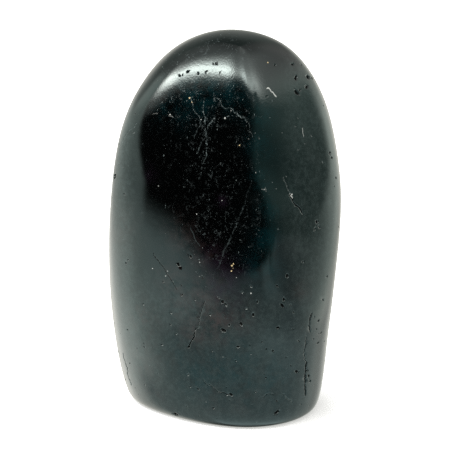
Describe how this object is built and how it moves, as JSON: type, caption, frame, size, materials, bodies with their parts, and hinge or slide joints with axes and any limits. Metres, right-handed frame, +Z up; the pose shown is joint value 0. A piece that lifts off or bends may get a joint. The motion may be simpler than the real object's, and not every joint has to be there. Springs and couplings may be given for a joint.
{
  "type": "polished black tourmaline freeform",
  "caption": "Upright rounded freeform of polished black tourmaline with a soft ridge down its front, cut flat below so that it stands by itself.",
  "frame": {"origin": "on the ground under the middle of the stone's bounding box", "axes": "+Z up through the crown, -Y towards the ridged front, +X to the right as seen from the front"},
  "size_m": [0.0626, 0.0466, 0.1039],
  "materials": {
    "stone": "polished"
  },
  "bodies": {
    "root": {"tourmaline": "stone"}
  },
  "joints": []
}
